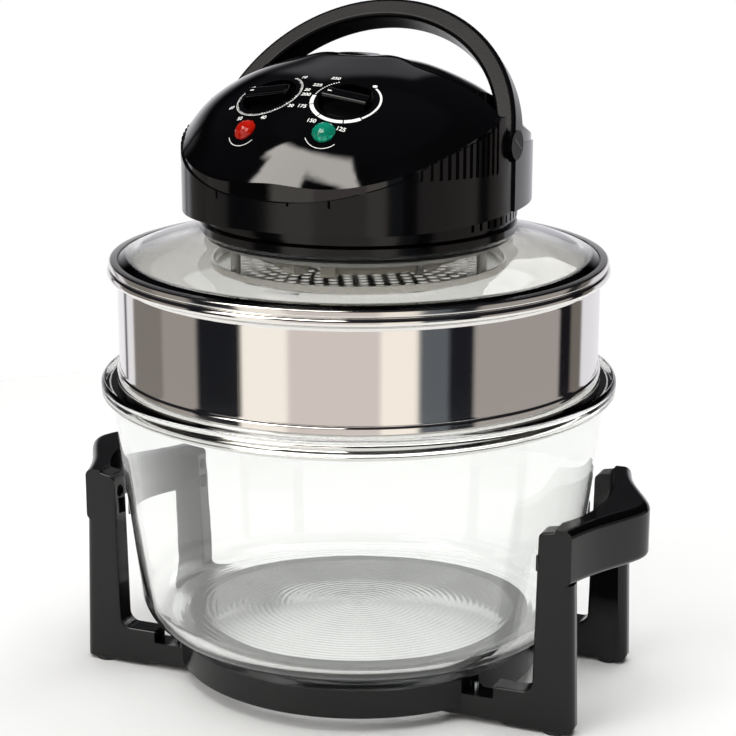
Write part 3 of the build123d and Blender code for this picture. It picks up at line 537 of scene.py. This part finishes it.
# %% [markdown]
# ## The studio
# The floor is a round pale table. Big soft lights light everything evenly; they are kept out of
# the reflections. What the steel and the black plastic mirror is the
# room round the table: two tall soft boxes in front, grey walls, and dark gaps between them. The
# room is painted by compass direction on the world, and what is seen directly or through the
# glass is plain pale paper.
# %% Floor
TABLE_R = 0.78
floor_paint = surface("pale_studio_floor", "FBFBFA", 0.6, grain_mm=30, relief_mm=0.01)
table = bmesh.new()
bmesh.ops.create_circle(table, cap_ends=True, segments=128, radius=TABLE_R)
floor_mesh = bpy.data.meshes.new("studio_floor")
table.to_mesh(floor_mesh)
table.free()
floor_mesh.materials.append(floor_paint)
studio_floor = bpy.data.objects.new("studio_floor", floor_mesh)
bpy.context.scene.collection.objects.link(studio_floor)

# %% [markdown]
# ## The room in the reflections
# A direction in the world has a compass angle and a height. The compass angle, counted from the
# camera's side, runs through a colour ramp with the walls and soft boxes as its stops. Above the
# horizon the walls fade to a dark ceiling, and only the left soft box and a narrow rear one reach
# up. Plastic mirrors only a few hundredths of what it sees, so the high box is many times stronger
# than the walls, but only in reflections, so that it casts no shadow.
# %% World
def ramp(tree, source, stops):
    node = add(tree, "ShaderNodeValToRGB", {"Fac": source})
    elements = node.color_ramp.elements
    while len(elements) < len(stops):
        elements.new(1.0)
    for element, (place_at, code) in zip(elements, stops):
        element.position = place_at
        element.color = hexa(code)
    return node.outputs["Color"]


def walls(*bands):
    """Stops of a ramp from (first degree, last degree, colour) bands, with a soft step between them."""
    stops = []
    for first, last, code in bands:
        stops += [((first + 1.2) / 360 + 0.5, code), ((last - 1.2) / 360 + 0.5, code)]
    return stops


world = bpy.data.worlds.new("studio_room")
world.use_nodes = True
room = world.node_tree
room.nodes.clear()
heading = add(room, "ShaderNodeTexCoord")
turned_room = add(room, "ShaderNodeMapping", {"Vector": heading.outputs["Generated"]},
                  Rotation=(0, 0, math.pi / 2 - CAMERA_TURN))
compass = add(room, "ShaderNodeTexGradient", {"Vector": turned_room.outputs[0]}, gradient_type="RADIAL")
parts = add(room, "ShaderNodeSeparateXYZ", {"Vector": turned_room.outputs[0]})
low_room = ramp(room, compass.outputs["Fac"], walls(
    (-180, -147, "E9E8EC"), (-147, -143, "55555A"), (-143, -133, "E4E2E6"), (-133, -105, "7E7974"),
    (-105, -81, "9A948F"), (-81, -56, "1B1C20"), (-56, -33, "FFF8EF"), (-33, 10, "D6CCC8"),
    (10, 27.5, "FFF6EC"), (27.5, 42, "5C6166"), (42, 54.7, "1C1D22"), (54.7, 108.5, "A19B97"),
    (108.5, 118.5, "17161A"), (118.5, 130, "6F6964"), (130, 180, "E2E1E6")))
high_room = ramp(room, compass.outputs["Fac"], walls(
    (-180, -168, "343436"), (-168, -72, "08080A"), (-72, -42, "FFFAF4"), (-42, 168, "060607"),
    (168, 180, "343436")))
top_room = ramp(room, compass.outputs["Fac"], walls(
    (-180, -78, "060607"), (-78, -8, "FFFAF4"), (-8, 180, "060607")))
dark = add(room, "ShaderNodeRGB")
dark.outputs[0].default_value = hexa("0C0C0E")
to_high = add(room, "ShaderNodeMapRange", {"Value": parts.outputs["Z"]}, interpolation_type="SMOOTHSTEP")
to_high.inputs["From Min"].default_value = 0.02
to_high.inputs["From Max"].default_value = 0.30
to_dark = add(room, "ShaderNodeMapRange", {"Value": parts.outputs["Z"]}, interpolation_type="SMOOTHSTEP")
to_dark.inputs["From Min"].default_value = 0.80
to_dark.inputs["From Max"].default_value = 0.86
lower = add(room, "ShaderNodeMix", data_type="RGBA")
room.links.new(to_high.outputs[0], lower.inputs[0])
room.links.new(low_room, lower.inputs[6])
room.links.new(high_room, lower.inputs[7])
to_top = add(room, "ShaderNodeMapRange", {"Value": parts.outputs["Z"]}, interpolation_type="SMOOTHSTEP")
to_top.inputs["From Min"].default_value = 0.62
to_top.inputs["From Max"].default_value = 0.72
middle = add(room, "ShaderNodeMix", data_type="RGBA")
room.links.new(to_top.outputs[0], middle.inputs[0])
room.links.new(lower.outputs[2], middle.inputs[6])
room.links.new(top_room, middle.inputs[7])
upper = add(room, "ShaderNodeMix", data_type="RGBA")
room.links.new(to_dark.outputs[0], upper.inputs[0])
room.links.new(middle.outputs[2], upper.inputs[6])
room.links.new(dark.outputs[0], upper.inputs[7])
ray = add(room, "ShaderNodeLightPath")
climb = add(room, "ShaderNodeMapRange", {"Value": parts.outputs["Z"]}, interpolation_type="SMOOTHSTEP")
climb.inputs["From Min"].default_value = 0.33
climb.inputs["From Max"].default_value = 0.48
climb.inputs["To Max"].default_value = 7.0
glow = add(room, "ShaderNodeMath", operation="MULTIPLY_ADD")
room.links.new(climb.outputs[0], glow.inputs[0])
room.links.new(ray.outputs["Is Glossy Ray"], glow.inputs[1])
glow.inputs[2].default_value = 1.15
mirrored_room = add(room, "ShaderNodeBackground", {"Color": upper.outputs[2], "Strength": glow.outputs[0]})
paper = add(room, "ShaderNodeBackground", Color=hexa("FFFFFF"), Strength=1.0)
through = add(room, "ShaderNodeMath", operation="MAXIMUM")
room.links.new(ray.outputs["Is Camera Ray"], through.inputs[0])
room.links.new(ray.outputs["Is Transmission Ray"], through.inputs[1])
seen = add(room, "ShaderNodeMixShader", {"Fac": through.outputs[0]})
room.links.new(mirrored_room.outputs[0], seen.inputs[1])
room.links.new(paper.outputs[0], seen.inputs[2])
add(room, "ShaderNodeOutputWorld", {"Surface": seen.outputs[0]})
bpy.context.scene.world = world
print("room nodes:", len(room.nodes))

# %% [markdown]
# ## The lights
# Three big soft boxes hang above, in front and behind. They only lift the floor and the diffuse
# surfaces, so they leave no hard shape in the black plastic.
# %% Lights and tone
def soft_box(name, place, aim, width, height, power):
    light = bpy.data.lights.new(name, "AREA")
    light.shape = "RECTANGLE"
    light.size = width
    light.size_y = height
    light.energy = power
    lamp = bpy.data.objects.new(name, light)
    lamp.location = place
    lamp.rotation_euler = (Vector(aim) - Vector(place)).to_track_quat("-Z", "Y").to_euler()
    lamp.visible_glossy = False
    bpy.context.scene.collection.objects.link(lamp)
    return lamp


soft_box("top_box", (0.0, 0.1, 2.2), (0, 0, 0), 2.4, 2.4, 56)
soft_box("front_box", (-0.9, -1.9, 1.7), (0, 0, 0.1), 1.4, 1.2, 14)
soft_box("rear_box", (0.5, 1.9, 1.6), (0, 0, 0.1), 1.6, 1.2, 14)
bpy.context.scene.view_settings.view_transform = "Standard"
